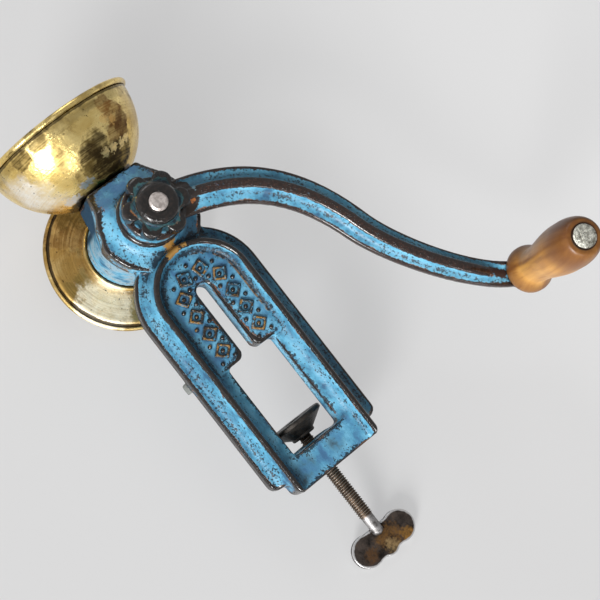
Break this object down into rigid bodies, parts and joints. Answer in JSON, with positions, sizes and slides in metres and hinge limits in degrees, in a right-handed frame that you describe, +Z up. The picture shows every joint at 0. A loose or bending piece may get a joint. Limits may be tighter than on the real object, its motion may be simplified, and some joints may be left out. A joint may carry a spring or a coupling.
{
  "type": "clamp-on hand mill",
  "caption": "Clamp-on hand mill with an arched cast stand, spun hopper, feed worm, toothed burrs, star adjusting nut, swan-necked crank with turned grip and winged clamp screw.",
  "frame": {"origin": "middle of the table edge: on the symmetry plane, at the back of the legs and level with the underside of the lugs, which is the table top", "axes": "+X along the table edge to the right seen from the crank, +Y from the crank over the table to the dish, +Z up"},
  "size_m": [0.2057, 0.1756, 0.2907],
  "materials": {
    "painted_iron": "worn gloss paint over cast iron",
    "painted_crank": "worn gloss paint, bare along the rib",
    "spun_brass": "tarnished, spun",
    "washer_brass": "dull",
    "burr_iron": "bare, machined teeth",
    "worn_iron": "worn, with remains of paint",
    "pad_iron": "dark, bare",
    "screw_steel": "browned, bright crests",
    "steel": "turned, slightly browned",
    "turned_wood": "oiled and handled"
  },
  "bodies": {
    "frame": {"body_casting": "painted_iron", "hopper_bowl": "spun_brass", "hopper_ferrule": "spun_brass", "outlet_dish": "spun_brass", "burr_ring": "burr_iron", "ring_set_screw": "steel"},
    "crank": {"crank_arm": "painted_crank", "handle_spindle": "steel", "thrust_washer": "washer_brass"},
    "shaft": {"drive_shaft": "steel", "feed_auger": "burr_iron", "auger_pin": "steel", "grinding_cone": "burr_iron", "cone_washer": "steel", "cone_nut": "steel"},
    "adjuster": {"star_nut": "worn_iron"},
    "handle": {"handle_grip": "turned_wood"},
    "pad": {"clamp_pad": "pad_iron"},
    "screw": {"clamp_screw": "screw_steel", "clamp_wing": "worn_iron"}
  },
  "joints": [
    {"name": "crank_turn", "type": "hinge", "parent": "frame", "child": "crank", "pos_m": [0, 0, 0.086], "axis": [0, 1, 0], "continuous": true},
    {"name": "burr_feed", "type": "slide", "parent": "crank", "child": "shaft", "axis": [0, 1, 0], "range_m": [-0.0007, 0.0016]},
    {"name": "nut_turn", "type": "hinge", "parent": "crank", "child": "adjuster", "pos_m": [0, 0, 0.086], "axis": [0, 1, 0], "range_deg": [-385, 170]},
    {"name": "handle_spin", "type": "hinge", "parent": "crank", "child": "handle", "pos_m": [0.146, 0, -0.0586], "axis": [0, 1, 0], "continuous": true},
    {"name": "pad_slide", "type": "slide", "parent": "frame", "child": "pad", "axis": [0, 0, 1], "range_m": [-0.0036, 0.031]},
    {"name": "screw_turn", "type": "hinge", "parent": "pad", "child": "screw", "pos_m": [0, 0.0075, 0], "axis": [0, 0, 1], "range_deg": [-930, 7980]}
  ],
  "couplings": [
    {"joint": "nut_turn", "follows": "burr_feed", "rad_per_m": -4188.8},
    {"joint": "screw_turn", "follows": "pad_slide", "rad_per_m": 4488}
  ]
}
